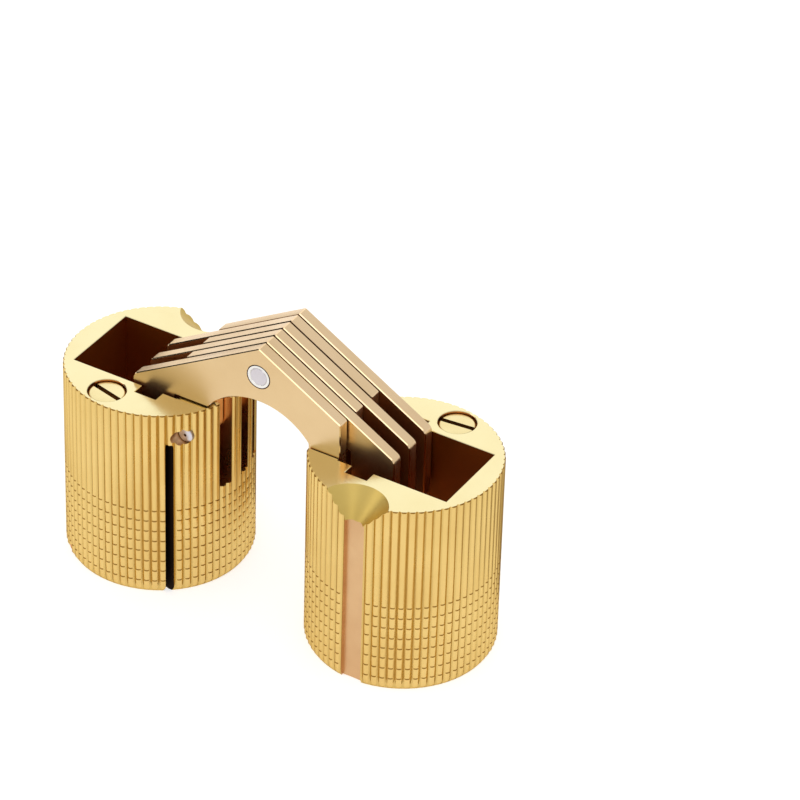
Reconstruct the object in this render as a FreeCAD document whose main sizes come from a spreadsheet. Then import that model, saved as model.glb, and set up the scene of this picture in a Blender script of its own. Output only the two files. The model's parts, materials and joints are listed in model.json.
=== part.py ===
"""Invisible barrel hinge: two ribbed barrels joined by six interleaved leaves on five cross pins.

The hinge stands open at 180 degrees on the ends of its barrels. X runs from the left barrel to the
right one, Y along the cross pins and Z up. The origin is on the floor, midway between the barrels.
The right half is the left half turned by half a turn about Z. Sizes are in millimetres.
"""
import FreeCAD
import Part
import Sketcher
import math
import os
from FreeCAD import Placement, Rotation, Vector

doc = FreeCAD.newDocument("BarrelHinge")

SIZES = {
    # Barrels: turned cylinders with straight ribs all round
    "barrel_diameter": 18.0,
    "barrel_length": 20.2,
    "barrel_gap": 8.7,
    "rib_count": 72,
    "rib_depth": 0.22,
    "rib_gap": 0.34,
    "dish_rim": 0.5,
    "dish_slope": 31,
    # Leaves: stamped plates, stacked along Y
    "leaf_thickness": 1.19,
    "leaf_gap": 0.17,
    "apex_rise": 3.05,
    "roof_slope": 30,
    "elbow_run": 1.9,
    "eye_radius": 1.45,
    "arch_radius": 6.9,
    "arch_height": 2.9,
    "leaf_lift": 0.15,
    "foot_width": 4.65,
    "tip_radius": 0.8,
    # Pins: depths are under the barrels' faces, heights over them, insets from a barrel's axis and
    # walls from its outside
    "centre_height": 5.6,
    "centre_pin_diameter": 1.75,
    "rivet_diameter": 2.3,
    "pin_diameter": 1.5,
    "pin_chamfer": 0.15,
    "pin_clearance": 0.03,
    "pivot_wall": 2.5,
    "pivot_depth": 2.6,
    "pivot_pin_recess": 0.6,
    "pivot_pin_bite": 0.9,
    "slide_inset": 2.0,
    "slide_depth": 6.2,
    # Pocket, slots and guides that the leaves and slide pins run in
    "pocket_wall": 2.25,
    "stack_clearance": 0.28,
    "foot_clearance": 0.375,
    "slot_clearance": 0.1,
    "slot_depth": 9.5,
    "guide_width": 2.3,
    "guide_reach": 1.2,
    "guide_end_clearance": 0.15,
    "relief_depth": 5.2,
    "relief_width": 1.9,
    # Clamp screw and the slit that it spreads
    "screw_inset": 1.38,
    "screw_wall": 2.3,
    "screw_diameter": 2.4,
    "screw_length": 8.0,
    "screw_tip": 0.8,
    "screw_head_diameter": 3.4,
    "screw_head_height": 1.1,
    "screw_recess": 0.2,
    "screw_clearance": 0.05,
    "seat_clearance": 0.12,
    "screw_slot_width": 0.5,
    "screw_slot_depth": 0.55,
    "left_slot_turn": -13.5,
    "right_slot_turn": -174.4,
    "slit_angle": 50,
    "slit_width": 0.5,
    "slit_top": 3.6,
    "slit_reach": 3.2,
    "slit_heel": 0.9,
    # Half countersink in the rim, and the groove under it
    "sink_overhang": 0.5,
    "sink_diameter": 6.8,
    "sink_depth": 2.4,
    "side_groove_width": 2.05,
    "side_groove_depth": 0.55,
    "side_groove_top": 2.3,
}

sheet = doc.addObject("Spreadsheet::Sheet", "Sizes")
for row, (alias, size) in enumerate(SIZES.items(), start=1):
    sheet.set(f"A{row}", alias)
    sheet.set(f"B{row}", str(size))
    sheet.setAlias(f"B{row}", alias)
doc.recompute()

LEAF_COUNT = 6
HALF_TURN = 180
FULL_TURN = 360

# Places and sizes that several pieces share, as formulas on the sheet's cells
RADIUS = "Sizes.barrel_diameter / 2"
HALF_SPACING = "(Sizes.barrel_diameter + Sizes.barrel_gap) / 2"
PITCH = "(Sizes.leaf_thickness + Sizes.leaf_gap)"
STACK_HALF = f"(({LEAF_COUNT} * {PITCH} - Sizes.leaf_gap) / 2)"
POCKET_HALF = f"({STACK_HALF} + Sizes.stack_clearance)"
GUIDE_HALF = f"({POCKET_HALF} + Sizes.guide_reach)"
POCKET_FAR = f"({RADIUS} - Sizes.pocket_wall)"
POCKET_NEAR = "(Sizes.slide_inset + Sizes.foot_width / 2 + Sizes.foot_clearance)"
GUIDE_NEAR = "(Sizes.slide_inset + Sizes.guide_width / 2)"
GUIDE_FAR = "(Sizes.slide_inset - Sizes.guide_width / 2)"
PIVOT_INSET = f"({RADIUS} - Sizes.pivot_wall)"
PIVOT_X = f"({HALF_SPACING} - {PIVOT_INSET})"
SLIDE_X = f"(Sizes.slide_inset - {HALF_SPACING})"
PIN_HOLE = "Sizes.pin_diameter + 2 * Sizes.pin_clearance"
CENTRE_HOLE = "Sizes.centre_pin_diameter + 2 * Sizes.pin_clearance"
RIVET_DEPTH = "(Sizes.rivet_diameter - Sizes.centre_pin_diameter) / 2"
PIVOT_SURFACE = f"sqrt(({RADIUS})^2 - {PIVOT_INSET}^2)"
PIVOT_NEAR_END = f"({PIVOT_SURFACE} - Sizes.pivot_pin_recess)"
PIVOT_FAR_END = f"({POCKET_HALF} + Sizes.pivot_pin_bite)"
SCREW_OFFSET = f"({RADIUS} - Sizes.screw_wall)"
SLIT_OFFSET = f"({RADIUS} * sin(Sizes.slit_angle))"
OVERSHOOT = "1"


def measure(formula):
    """Value of a formula on the sheet's cells."""
    return float(sheet.evalExpression(formula))


def origin_feature(body, role):
    return next(item for item in body.Origin.OriginFeatures if item.Role == role)


def new_body(name, x="0", y="0", z="0", turn=0):
    """Empty body whose place follows the sheet, turned about Z by so many degrees."""
    body = doc.addObject("PartDesign::Body", name)
    body.Label = name
    body.Placement = Placement(Vector(), Rotation(Vector(0, 0, 1), turn))
    for axis, formula in (("x", x), ("y", y), ("z", z)):
        body.setExpression(f"Placement.Base.{axis}", formula)
    return body


def new_sketch(body, plane, name, lift="0"):
    """Sketch on one of the body's own planes, lifted along that plane's normal."""
    sketch = body.newObject("Sketcher::SketchObject", name)
    sketch.AttachmentSupport = [(origin_feature(body, plane), "")]
    sketch.MapMode = "FlatFace"
    sketch.setExpression("AttachmentOffset.Base.z", lift)
    return sketch


def bind(sketch, kind, where, formula):
    """Dimension driven by a formula."""
    index = sketch.addConstraint(Sketcher.Constraint(kind, *where, measure(formula)))
    sketch.setExpression(f"Constraints[{index}]", formula)


def draw_circle(sketch, x, y, diameter):
    centre = Vector(measure(x), measure(y), 0)
    circle = sketch.addGeometry(Part.Circle(centre, Vector(0, 0, 1), measure(diameter) / 2))
    bind(sketch, "DistanceX", (circle, 3), x)
    bind(sketch, "DistanceY", (circle, 3), y)
    bind(sketch, "Diameter", (circle,), diameter)


def draw_outline(sketch, corners):
    """Closed outline through corners, given as (x, y) formulas.

    A third entry bends the edge that starts at a corner into an arc: its centre's x and y, and
    whether it runs anticlockwise.
    """
    spots = [Vector(measure(corner[0]), measure(corner[1]), 0) for corner in corners]
    edges = []
    for index, corner in enumerate(corners):
        start, end = spots[index], spots[(index + 1) % len(spots)]
        if len(corner) == 2:
            edges.append((sketch.addGeometry(Part.LineSegment(start, end)), 1, 2))
            continue
        centre_x, centre_y, anticlockwise = corner[2]
        centre = Vector(measure(centre_x), measure(centre_y), 0)
        first, last = (start, end) if anticlockwise else (end, start)
        angles = [math.atan2(spot.y - centre.y, spot.x - centre.x) for spot in (first, last)]
        if angles[1] < angles[0]:
            angles[1] += 2 * math.pi
        circle = Part.Circle(centre, Vector(0, 0, 1), (start - centre).Length)
        arc = sketch.addGeometry(Part.ArcOfCircle(circle, *angles))
        edges.append((arc, 1, 2) if anticlockwise else (arc, 2, 1))
        bind(sketch, "DistanceY", (arc, 3), centre_y)
    for index, corner in enumerate(corners):
        edge, start, _ = edges[index]
        before, _, end = edges[index - 1]
        sketch.addConstraint(Sketcher.Constraint("Coincident", before, end, edge, start))
        bind(sketch, "DistanceX", (edge, start), corner[0])
        bind(sketch, "DistanceY", (edge, start), corner[1])


def draw_rectangle(sketch, low_x, high_x, low_y, high_y):
    draw_outline(sketch, [(low_x, low_y), (high_x, low_y), (high_x, high_y), (low_x, high_y)])


def pad(body, sketch, length, symmetric=False):
    feature = body.newObject("PartDesign::Pad", f"{sketch.Name}_pad")
    feature.Profile = sketch
    feature.SideType = "Symmetric" if symmetric else "One side"
    feature.setExpression("Length", length)
    doc.recompute()
    return feature


def check_cut(before, feature):
    """A cut has to take material away."""
    doc.recompute()
    if not feature.Shape.Volume < before:
        raise RuntimeError(f"{feature.Name} cuts nothing")
    return feature


def pocket(body, sketch, length=None, along_normal=False):
    """Cut against the sketch's normal or along it, right through if no length is given."""
    before = body.Shape.Volume
    feature = body.newObject("PartDesign::Pocket", f"{sketch.Name}_cut")
    feature.Profile = sketch
    feature.Reversed = along_normal
    if length is None:
        feature.Type = "ThroughAll"
    else:
        feature.setExpression("Length", length)
    return check_cut(before, feature)


def cone_cut(body, plane, name, place, radii, depth):
    """Conical cut that stands on a plane: its place is in that plane's own x, y and normal."""
    before = body.Shape.Volume
    cone = body.newObject("PartDesign::SubtractiveCone", name)
    cone.AttachmentSupport = [(origin_feature(body, plane), "")]
    cone.MapMode = "FlatFace"
    for axis, formula in zip("xyz", place):
        cone.setExpression(f"AttachmentOffset.Base.{axis}", formula)
    cone.setExpression("Radius1", radii[0])
    cone.setExpression("Radius2", radii[1])
    cone.setExpression("Height", depth)
    return check_cut(before, cone)


def turned(body, plane, axis, name, half_profile):
    """Piece turned on a lathe: half its section, revolved about one of the body's axes."""
    sketch = new_sketch(body, plane, name)
    draw_outline(sketch, half_profile)
    feature = body.newObject("PartDesign::Revolution", f"{name}_turned")
    feature.Profile = sketch
    feature.ReferenceAxis = (origin_feature(body, axis), [""])
    feature.Angle = FULL_TURN
    doc.recompute()
    return feature


def cut_ribs(body):
    """Straight grooves between the ribs, all round the barrel, with a rib facing each axis."""
    sketch = new_sketch(body, "XY_Plane", "rib_gap")
    sketch.setExpression("AttachmentOffset.Rotation.Angle", f"{HALF_TURN} / Sizes.rib_count")
    edge = f"{RADIUS} + Sizes.rib_depth"
    reach = "Sizes.rib_gap"
    root = f"{RADIUS} - Sizes.rib_depth"
    draw_outline(sketch, [(root, "0"), (edge, f"-{reach}"), (edge, reach)])
    groove = pocket(body, sketch, along_normal=True)
    ribs = body.newObject("PartDesign::PolarPattern", "ribs")
    ribs.Originals = [groove]
    ribs.Axis = (origin_feature(body, "Z_Axis"), [""])
    ribs.Angle = FULL_TURN
    ribs.setExpression("Occurrences", "Sizes.rib_count")
    body.Tip = ribs
    doc.recompute()


def cut_link_pocket(body):
    """Pocket for the whole stack, slots for the leaves that pivot here, and guides for the slide pin."""
    hole = new_sketch(body, "XY_Plane", "link_pocket")
    draw_rectangle(hole, f"-{POCKET_FAR}", POCKET_NEAR, f"-{POCKET_HALF}", POCKET_HALF)
    pocket(body, hole, along_normal=True)

    slots = new_sketch(body, "XY_Plane", "leaf_slots", "Sizes.barrel_length")
    slot_half = "(Sizes.leaf_thickness / 2 + Sizes.slot_clearance)"
    for leaf in range(2, LEAF_COUNT + 1, 2):
        middle = leaf_offset(leaf)
        draw_rectangle(slots, f"{POCKET_NEAR} - {OVERSHOOT}", f"{RADIUS} + {OVERSHOOT}",
                       f"{middle} - {slot_half}", f"{middle} + {slot_half}")
    pocket(body, slots, "Sizes.slot_depth")

    guide = new_sketch(body, "XY_Plane", "slide_guide")
    draw_rectangle(guide, GUIDE_FAR, GUIDE_NEAR, f"-{GUIDE_HALF}", GUIDE_HALF)
    pocket(body, guide, along_normal=True)

    relief = new_sketch(body, "XY_Plane", "slide_relief")
    draw_rectangle(relief, f"{GUIDE_FAR} - Sizes.relief_width", GUIDE_NEAR, f"-{GUIDE_HALF}", GUIDE_HALF)
    pocket(body, relief, "Sizes.barrel_length - Sizes.relief_depth", along_normal=True)


def cut_pivot_hole(body):
    """Blind cross hole for the pivot pin, drilled in from the screw's side."""
    hole = new_sketch(body, "XZ_Plane", "pivot_hole", RADIUS)
    draw_circle(hole, PIVOT_INSET, "Sizes.barrel_length - Sizes.pivot_depth", PIN_HOLE)
    pocket(body, hole, f"{RADIUS} + {PIVOT_FAR_END}")


def cut_clamp(body):
    """Screw hole with a counterbore, and the slit that lets the barrel spring open on that side.

    The slit comes in from the pivot's side, ends just past the screw and runs out low at its heel.
    """
    head = new_sketch(body, "XY_Plane", "screw_seat", "Sizes.barrel_length")
    draw_circle(head, "-Sizes.screw_inset", f"-{SCREW_OFFSET}",
                "Sizes.screw_head_diameter + 2 * Sizes.seat_clearance")
    pocket(body, head, "Sizes.screw_recess + Sizes.screw_head_height")

    shank = new_sketch(body, "XY_Plane", "screw_hole", "Sizes.barrel_length")
    draw_circle(shank, "-Sizes.screw_inset", f"-{SCREW_OFFSET}",
                "Sizes.screw_diameter + 2 * Sizes.screw_clearance")
    pocket(body, shank, "Sizes.screw_recess + Sizes.screw_length + Sizes.screw_tip")

    slit = new_sketch(body, "YZ_Plane", "slit", "-Sizes.slit_reach")
    near = f"-{SLIT_OFFSET} + Sizes.slit_width / 2"
    far = f"-{SLIT_OFFSET} - Sizes.slit_width / 2"
    top = "Sizes.barrel_length - Sizes.slit_top - Sizes.slit_width / 2"
    draw_outline(slit, [(far, f"-{OVERSHOOT}"), (near, f"-{OVERSHOOT}"),
                        (near, top, (f"-{SLIT_OFFSET}", top, True)), (far, top)])
    pocket(body, slit, along_normal=True)
    heel = new_sketch(body, "XY_Plane", "slit_heel")
    draw_rectangle(heel, f"-{RADIUS} - {OVERSHOOT}", "-Sizes.slit_reach", far, near)
    pocket(body, heel, "Sizes.slit_heel", along_normal=True)


def cut_side_groove(body):
    """Half countersink in the rim for a wood screw's head, and the groove that runs down from it."""
    groove = new_sketch(body, "XY_Plane", "side_groove")
    draw_rectangle(groove, "-Sizes.side_groove_width / 2", "Sizes.side_groove_width / 2",
                   f"{RADIUS} - Sizes.side_groove_depth", f"{RADIUS} + {OVERSHOOT}")
    pocket(body, groove, "Sizes.barrel_length - Sizes.side_groove_top", along_normal=True)
    cone_cut(body, "XY_Plane", "countersink",
             ("0", f"{RADIUS} + Sizes.sink_overhang", "Sizes.barrel_length - Sizes.sink_depth"),
             ("Sizes.sink_diameter / 2 - Sizes.sink_depth", "Sizes.sink_diameter / 2"), "Sizes.sink_depth")


def make_barrel(name, x, turn):
    body = new_body(name, x=x, turn=turn)
    blank = new_sketch(body, "XY_Plane", "barrel_blank")
    draw_circle(blank, "0", "0", "Sizes.barrel_diameter")
    pad(body, blank, "Sizes.barrel_length")
    dish_radius = f"({RADIUS} - Sizes.dish_rim)"
    dish_depth = f"{dish_radius} * tan(Sizes.dish_slope)"
    cone_cut(body, "XY_Plane", "dish", ("0", "0", "0"), (dish_radius, "0"), dish_depth)
    cut_link_pocket(body)
    cut_pivot_hole(body)
    cut_clamp(body)
    cut_side_groove(body)
    cut_ribs(body)
    return body


def leaf_offset(leaf):
    """Middle of a leaf along Y, counted from the front."""
    return f"(({leaf} - {(LEAF_COUNT + 1) / 2}) * {PITCH})"


def leaf_corners():
    """Leaf outline, heights over the barrels' faces: pivot eye on the right, slide foot on the left."""
    apex = "(Sizes.centre_height + Sizes.apex_rise)"
    elbow_x = f"({PIVOT_X} + Sizes.elbow_run)"
    eye_z = "-Sizes.pivot_depth"
    tangent_x = f"{PIVOT_X} + Sizes.eye_radius^2 / Sizes.elbow_run"
    tangent_z = f"{eye_z} - Sizes.eye_radius * sqrt(1 - (Sizes.eye_radius / Sizes.elbow_run)^2)"
    outer_x = f"({PIVOT_X} - Sizes.eye_radius)"
    arch_z = "(Sizes.arch_height - Sizes.arch_radius)"
    arch_end = f"-sqrt(Sizes.arch_radius^2 - (Sizes.leaf_lift - {arch_z})^2)"
    foot_near = f"({SLIDE_X} + Sizes.foot_width / 2)"
    foot_far = f"({SLIDE_X} - Sizes.foot_width / 2)"
    foot_z = "-Sizes.slide_depth"
    tip_run = "(Sizes.tip_radius / tan(45 + Sizes.roof_slope / 2))"
    tip_z = f"({apex} + {foot_far} * tan(Sizes.roof_slope))"
    tip_start = f"{tip_z} - {tip_run}"
    return [
        ("0", apex),
        (elbow_x, f"{apex} - {elbow_x} * tan(Sizes.roof_slope)"),
        (elbow_x, eye_z),
        (tangent_x, tangent_z, (PIVOT_X, eye_z, False)),
        (outer_x, eye_z),
        (outer_x, f"{arch_z} + sqrt(Sizes.arch_radius^2 - {outer_x}^2)", ("0", arch_z, True)),
        (arch_end, "Sizes.leaf_lift"),
        (foot_near, "Sizes.leaf_lift"),
        (foot_near, foot_z, (SLIDE_X, foot_z, False)),
        (foot_far, foot_z),
        (foot_far, tip_start, (f"{foot_far} + Sizes.tip_radius", tip_start, False)),
        (f"{foot_far} + {tip_run} * cos(Sizes.roof_slope)", f"{tip_z} + {tip_run} * sin(Sizes.roof_slope)"),
    ]


def make_leaf(leaf):
    """Odd leaves pivot in the right barrel and slide in the left one, even leaves the other way."""
    turn = 0 if leaf % 2 else HALF_TURN
    body = new_body(f"leaf_{leaf}", y=leaf_offset(leaf), z="Sizes.barrel_length", turn=turn)
    plate = new_sketch(body, "XZ_Plane", "leaf_outline")
    draw_outline(plate, leaf_corners())
    draw_circle(plate, "0", "Sizes.centre_height", CENTRE_HOLE)
    draw_circle(plate, PIVOT_X, "-Sizes.pivot_depth", PIN_HOLE)
    draw_circle(plate, SLIDE_X, "-Sizes.slide_depth", PIN_HOLE)
    pad(body, plate, "Sizes.leaf_thickness", symmetric=True)
    if leaf in (1, LEAF_COUNT):
        cone_cut(body, "XZ_Plane", "rivet_sink",
                 ("0", "Sizes.centre_height", f"Sizes.leaf_thickness / 2 - {RIVET_DEPTH}"),
                 (f"({CENTRE_HOLE}) / 2", "Sizes.rivet_diameter / 2 + Sizes.pin_clearance"), RIVET_DEPTH)
    return body


def make_cross_pin(name, x, z, near_end, far_end, turn=0):
    """Plain pin along Y with chamfered ends."""
    body = new_body(name, x=x, z=z, turn=turn)
    radius = "Sizes.pin_diameter / 2"
    shoulder = f"{radius} - Sizes.pin_chamfer"
    turned(body, "XY_Plane", "Y_Axis", "pin_section", [
        ("0", f"-{near_end}"),
        (shoulder, f"-{near_end}"),
        (radius, f"-{near_end} + Sizes.pin_chamfer"),
        (radius, f"{far_end} - Sizes.pin_chamfer"),
        (shoulder, far_end),
        ("0", far_end),
    ])
    return body


def make_centre_pin():
    """Pin through all the leaves, riveted flush into the outer two."""
    body = new_body("centre_pin", z="Sizes.barrel_length + Sizes.centre_height")
    radius = "Sizes.centre_pin_diameter / 2"
    rivet = "Sizes.rivet_diameter / 2"
    turned(body, "XY_Plane", "Y_Axis", "rivet_section", [
        ("0", f"-{STACK_HALF}"),
        (rivet, f"-{STACK_HALF}"),
        (radius, f"-{STACK_HALF} + {RIVET_DEPTH}"),
        (radius, f"{STACK_HALF} - {RIVET_DEPTH}"),
        (rivet, STACK_HALF),
        ("0", STACK_HALF),
    ])
    return body


def make_clamp_screw(name, x, y, turn):
    """Slotted screw whose tapered end spreads the barrel's slit."""
    body = new_body(name, x=x, y=y, z="Sizes.barrel_length - Sizes.screw_recess")
    body.setExpression("Placement.Rotation.Angle", turn)
    radius = "Sizes.screw_diameter / 2"
    head = "Sizes.screw_head_diameter / 2"
    turned(body, "XZ_Plane", "Z_Axis", "screw_section", [
        ("0", "0"),
        ("0", "-Sizes.screw_length"),
        (f"{radius} - Sizes.screw_tip", "-Sizes.screw_length"),
        (radius, "-Sizes.screw_length + Sizes.screw_tip"),
        (radius, "-Sizes.screw_head_height"),
        (head, "-Sizes.screw_head_height"),
        (head, "0"),
    ])
    slot = new_sketch(body, "XY_Plane", "driver_slot")
    reach = f"{head} + {OVERSHOOT}"
    draw_rectangle(slot, f"-({reach})", reach, "-Sizes.screw_slot_width / 2", "Sizes.screw_slot_width / 2")
    pocket(body, slot, "Sizes.screw_slot_depth")
    return body


def make_hinge():
    pivot_z = "Sizes.barrel_length - Sizes.pivot_depth"
    slide_z = "Sizes.barrel_length - Sizes.slide_depth"
    slide_end = f"({GUIDE_HALF} - Sizes.guide_end_clearance)"
    screw_x = f"({HALF_SPACING} + Sizes.screw_inset)"
    pieces = [
        make_barrel("barrel_left", f"-{HALF_SPACING}", 0),
        make_barrel("barrel_right", HALF_SPACING, HALF_TURN),
        make_centre_pin(),
        make_cross_pin("pivot_pin_left", f"-{PIVOT_X}", pivot_z, PIVOT_NEAR_END, PIVOT_FAR_END),
        make_cross_pin("pivot_pin_right", PIVOT_X, pivot_z, PIVOT_NEAR_END, PIVOT_FAR_END, HALF_TURN),
        make_cross_pin("slide_pin_left", SLIDE_X, slide_z, slide_end, slide_end),
        make_cross_pin("slide_pin_right", f"-{SLIDE_X}", slide_z, slide_end, slide_end, HALF_TURN),
        make_clamp_screw("clamp_screw_left", f"-{screw_x}", f"-{SCREW_OFFSET}", "Sizes.left_slot_turn"),
        make_clamp_screw("clamp_screw_right", screw_x, SCREW_OFFSET, "Sizes.right_slot_turn"),
    ]
    pieces += [make_leaf(leaf) for leaf in range(1, LEAF_COUNT + 1)]
    return pieces


def write_parts(pieces):
    doc.recompute()
    for item in doc.Objects:
        if "Invalid" in item.State or "Error" in item.State:
            raise RuntimeError(f"{item.Label} failed to build")
    for piece in pieces:
        shape = piece.Shape
        if shape.isNull() or not shape.isValid() or len(shape.Solids) != 1:
            raise RuntimeError(f"{piece.Label} is not one valid solid")
        print(f"{piece.Label}: {shape.Volume:.2f} mm3")
    os.makedirs("parts", exist_ok=True)
    for piece in pieces:
        piece.Shape.exportStep(f"parts/{piece.Label}.step")


write_parts(make_hinge())
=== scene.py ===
# %% [markdown]
# # An invisible barrel hinge in brass
# This lesson dresses a small furniture hinge: two ribbed brass barrels that are sunk in the edges of
# a door and its frame, joined by a stack of bent leaves that fold away when the door closes.
# The measured parts come in first as a fixed frame. Every piece made below goes where the frame
# says, rides on one of its moving bodies, and keeps the size of the part that it stands for.

# %% Load the frame
import bmesh
import bpy
import json
import math
from mathutils import Matrix, Vector

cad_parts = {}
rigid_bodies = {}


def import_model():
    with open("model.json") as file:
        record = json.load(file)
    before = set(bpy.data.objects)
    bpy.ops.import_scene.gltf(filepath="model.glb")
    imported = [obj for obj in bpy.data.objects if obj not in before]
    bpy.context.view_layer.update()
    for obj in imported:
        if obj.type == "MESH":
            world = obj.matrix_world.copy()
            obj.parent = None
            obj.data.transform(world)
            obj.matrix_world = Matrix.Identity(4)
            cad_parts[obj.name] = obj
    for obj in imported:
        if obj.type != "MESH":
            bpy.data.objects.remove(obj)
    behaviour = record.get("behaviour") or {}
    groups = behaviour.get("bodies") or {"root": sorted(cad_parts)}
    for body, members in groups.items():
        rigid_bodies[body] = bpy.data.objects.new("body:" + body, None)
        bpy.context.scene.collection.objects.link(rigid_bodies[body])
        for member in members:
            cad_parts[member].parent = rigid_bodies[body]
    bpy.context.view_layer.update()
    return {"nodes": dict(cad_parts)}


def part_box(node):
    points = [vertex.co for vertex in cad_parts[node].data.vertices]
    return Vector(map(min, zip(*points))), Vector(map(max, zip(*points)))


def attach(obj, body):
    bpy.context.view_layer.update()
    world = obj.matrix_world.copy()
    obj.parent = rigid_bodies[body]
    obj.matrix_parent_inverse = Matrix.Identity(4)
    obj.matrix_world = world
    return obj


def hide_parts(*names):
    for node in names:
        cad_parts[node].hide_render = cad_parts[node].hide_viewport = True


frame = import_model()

MM = 0.001
print("nodes:", len(frame["nodes"]))

# %% [markdown]
# ## The camera
# A product camera stands far off with a long lens, so that upright edges stay nearly parallel.
# It could be aimed with a tracking constraint, but four measured numbers say it all: how far round,
# how high, how far away, and the slight tilt of the frame. The three axes are built from them.

# %% Aim the camera
AZIMUTH = math.radians(30.266)
ELEVATION = math.radians(35.325)
ROLL = math.radians(1.83)
CAMERA_DISTANCE = 375.82 * MM
CAMERA_TARGET = Vector((23.63, -19.06, 41.43)) * MM
SENSOR_WIDTH, LENS = 36, 202.37
NEAR_CLIP = 10 * MM

backward = Vector((math.sin(AZIMUTH) * math.cos(ELEVATION),
                   -math.cos(AZIMUTH) * math.cos(ELEVATION), math.sin(ELEVATION)))
level = Vector((math.cos(AZIMUTH), math.sin(AZIMUTH), 0))
upward = backward.cross(level)
side = level * math.cos(ROLL) + upward * math.sin(ROLL)
top = upward * math.cos(ROLL) - level * math.sin(ROLL)
turn = Matrix((side, top, backward)).transposed()
bpy.ops.object.camera_add(location=CAMERA_TARGET + backward * CAMERA_DISTANCE,
                          rotation=turn.to_euler())
camera = bpy.context.object
camera.name = "product_camera"
camera.data.sensor_width = SENSOR_WIDTH
camera.data.lens = LENS
camera.data.clip_start = NEAR_CLIP
scene = bpy.context.scene
scene.camera = camera
print("camera at", [round(c / MM, 1) for c in camera.location], "mm, lens", LENS)

# %% [markdown]
# ## The studio
# Polished brass shows what stands around it, so the room matters as much as the metal.
# A white floor fills the reflections of all the upright walls, because the camera looks down at
# them, and the room fills those of the level faces. A white background could come from bright lamps,
# but that would wash out the metal, so the floor and the world show white only to the camera and to
# reflections. One helper adds shader nodes, here and in all the finishes further down.

# %% Floor and world
FLOOR_SIZE = 4.0
PAPER_WHITE = (0.80, 0.80, 0.80, 1)
ROOM_LIGHT = 0.55


def add_node(tree, kind, inputs=None, **settings):
    """Add a shader node. An input takes a value, or another node's output to be linked."""
    added = tree.nodes.new(f"ShaderNode{kind}")
    for title, value in settings.items():
        setattr(added, title, value)
    for title, value in (inputs or {}).items():
        if isinstance(value, bpy.types.NodeSocket):
            tree.links.new(value, added.inputs[title])
        else:
            added.inputs[title].default_value = value
    return added


def seen_strength(tree, to_camera, in_gloss, otherwise=0.0):
    """Strength that depends on the ray: from the camera, in a reflection, or any other."""
    path = add_node(tree, "LightPath")
    reflected = add_node(tree, "MapRange", {"Value": path.outputs["Is Glossy Ray"],
                                            "To Min": otherwise, "To Max": in_gloss})
    seen = add_node(tree, "MapRange", {"Value": path.outputs["Is Camera Ray"],
                                       "To Min": reflected.outputs[0], "To Max": to_camera})
    return seen.outputs[0]


def deselect():
    bpy.ops.object.select_all(action="DESELECT")


deselect()
bpy.ops.mesh.primitive_plane_add(size=FLOOR_SIZE)
floor = bpy.context.object
floor.name = "floor"

paper = bpy.data.materials.new("white_paper")
paper.use_nodes = True
tree = paper.node_tree
tree.nodes.clear()
matt = add_node(tree, "BsdfDiffuse", {"Color": PAPER_WHITE})
glow = add_node(tree, "Emission", {"Strength": seen_strength(tree, to_camera=0.66, in_gloss=0.62)})
both = add_node(tree, "AddShader", {0: matt.outputs[0], 1: glow.outputs[0]})
add_node(tree, "OutputMaterial", {"Surface": both.outputs[0]})
floor.data.materials.append(paper)

world = bpy.data.worlds.new("studio")
scene.world = world
world.use_nodes = True
tree = world.node_tree
room = tree.nodes["Background"]
room.inputs["Color"].default_value = (1, 1, 1, 1)
strength = seen_strength(tree, to_camera=1.0, in_gloss=0.76, otherwise=ROOM_LIGHT)
tree.links.new(strength, room.inputs["Strength"])
scene.view_settings.view_transform = "Standard"
print("floor", FLOOR_SIZE, "m, room light", ROOM_LIGHT)

# %% [markdown]
# Three soft boxes light the hinge. The one behind shines along the level faces, the left one lights
# the front of the barrels, and the front one runs as a bright line along the leaves' right edges.
# They are square area lamps, which give softer edges to a highlight than spots or a sun would.

# %% Soft boxes
HINGE_MIDDLE = Vector((0, 0, 0.02))


def soft_box(name, place, width, energy):
    """Square area lamp, aimed at the hinge."""
    aim = (HINGE_MIDDLE - Vector(place)).to_track_quat("-Z", "Y")
    bpy.ops.object.light_add(type="AREA", location=place, rotation=aim.to_euler())
    lamp = bpy.context.object
    lamp.name = name
    lamp.data.size = width
    lamp.data.energy = energy


soft_box("back_box", (-0.30, 0.50, 0.45), width=0.50, energy=0.28)
soft_box("left_box", (-0.55, -0.25, 0.40), width=0.35, energy=0.30)
soft_box("front_box", (0.25, -0.55, 0.45), width=0.30, energy=0.30)

# %% [markdown]
# Polished metal also needs something dark to mirror, or it looks like plastic. A black flag at the
# left draws the dark lines along the leaves' left edges. A cream card lies on the floor behind the
# hinge: the ribs at the barrels' flanks mirror it on their crests and the white floor on their
# slopes. Only reflections see the card, so it throws no shadow on the floor.

# %% Flag and card
def card(name, size, place, turn, tone):
    """Matt card for reflections, which the camera itself doesn't see."""
    deselect()
    bpy.ops.mesh.primitive_plane_add(size=1, location=place, rotation=turn)
    sheet = bpy.context.object
    sheet.scale = (*size, 1)
    sheet.name = name
    sheet.visible_camera = False
    felt = bpy.data.materials.new(name)
    felt.use_nodes = True
    shader = felt.node_tree.nodes["Principled BSDF"]
    shader.inputs["Base Color"].default_value = (*tone, 1)
    shader.inputs["Roughness"].default_value = 1.0
    sheet.data.materials.append(felt)
    return sheet


UPRIGHT = (math.pi / 2, 0, math.pi / 2)
LYING = (0, 0, 0)
card("black_flag", (0.20, 0.12), (-0.38, -0.124, 0.14), UPRIGHT, (0.02, 0.02, 0.02))
cream = card("cream_card", (0.16, 0.07), (0, 0.045, 0.0001), LYING, (0.88, 0.80, 0.70))
cream.visible_diffuse = False
cream.visible_shadow = False

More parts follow.
